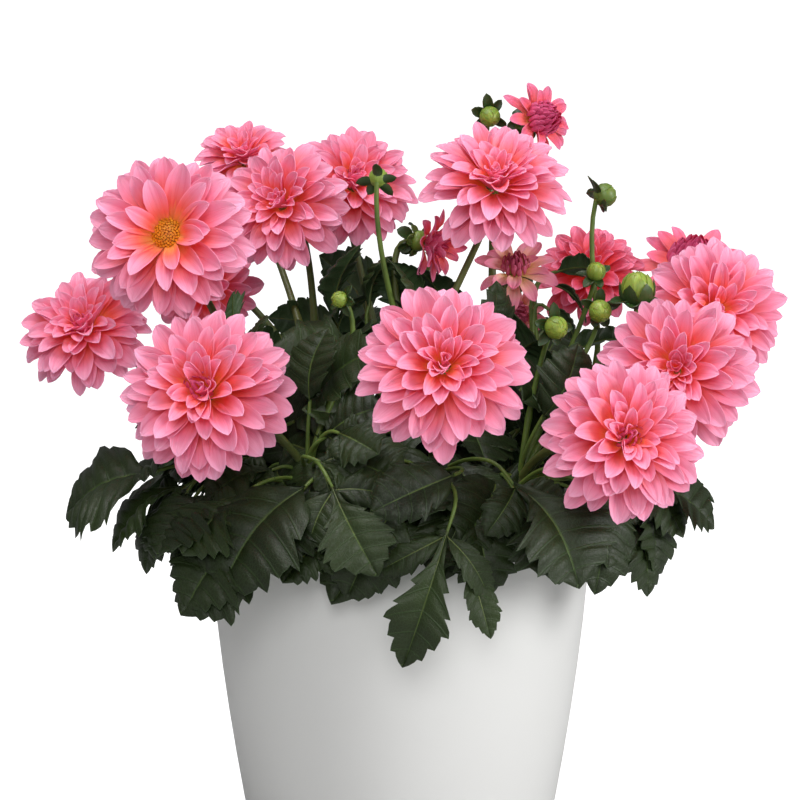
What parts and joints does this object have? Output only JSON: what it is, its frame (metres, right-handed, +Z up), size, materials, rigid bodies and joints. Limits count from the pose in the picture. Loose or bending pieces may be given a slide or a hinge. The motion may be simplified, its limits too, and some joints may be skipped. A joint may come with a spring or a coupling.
{
  "type": "potted dahlia",
  "caption": "Bushy flowering dahlia plant in a tapered round pot: leafy branching stems with toothed leaves, layered double flower heads, opening heads and round green buds.",
  "frame": {"origin": "middle of the pot's flat underside, on the surface that the pot stands on", "axes": "+Z up along the pot's axis, -Y towards the side that the fullest flower heads face, +X to the right as seen from that side"},
  "size_m": [0.4974, 0.4027, 0.5162],
  "materials": {
    "pot": "satin",
    "soil": "matte",
    "foliage": "satin",
    "petals": "matte",
    "young_petals": "matte",
    "disc": "matte"
  },
  "bodies": {
    "root": {"pot": "pot", "soil": "soil", "stem_front": "foliage", "stem_front_left": "foliage", "stem_left": "foliage", "stem_left_back": "foliage", "stem_back": "foliage", "stem_centre": "foliage", "stem_right_back": "foliage", "stem_right": "foliage", "stem_front_right": "foliage", "stem_back_right": "foliage", "floret_disc": "disc", "bloom_front": "petals", "bloom_left_lower": "petals", "bloom_right_lower": "petals", "bloom_open_centre": "petals", "bloom_far_left": "petals", "bloom_left_upper": "petals", "bloom_middle_upper": "petals", "bloom_top_left": "petals", "bloom_left_inner": "petals", "bloom_top_right": "petals", "bloom_right_middle": "petals", "bloom_far_right": "petals", "bloom_right_inner": "petals", "bloom_back_low": "petals", "bloom_back_right": "petals", "bloom_back_high": "petals", "opening_bloom_right": "young_petals", "opening_bloom_top": "young_petals", "opening_bloom_side": "young_petals", "opening_bloom_star": "young_petals", "opening_bloom_low": "young_petals"}
  },
  "joints": []
}
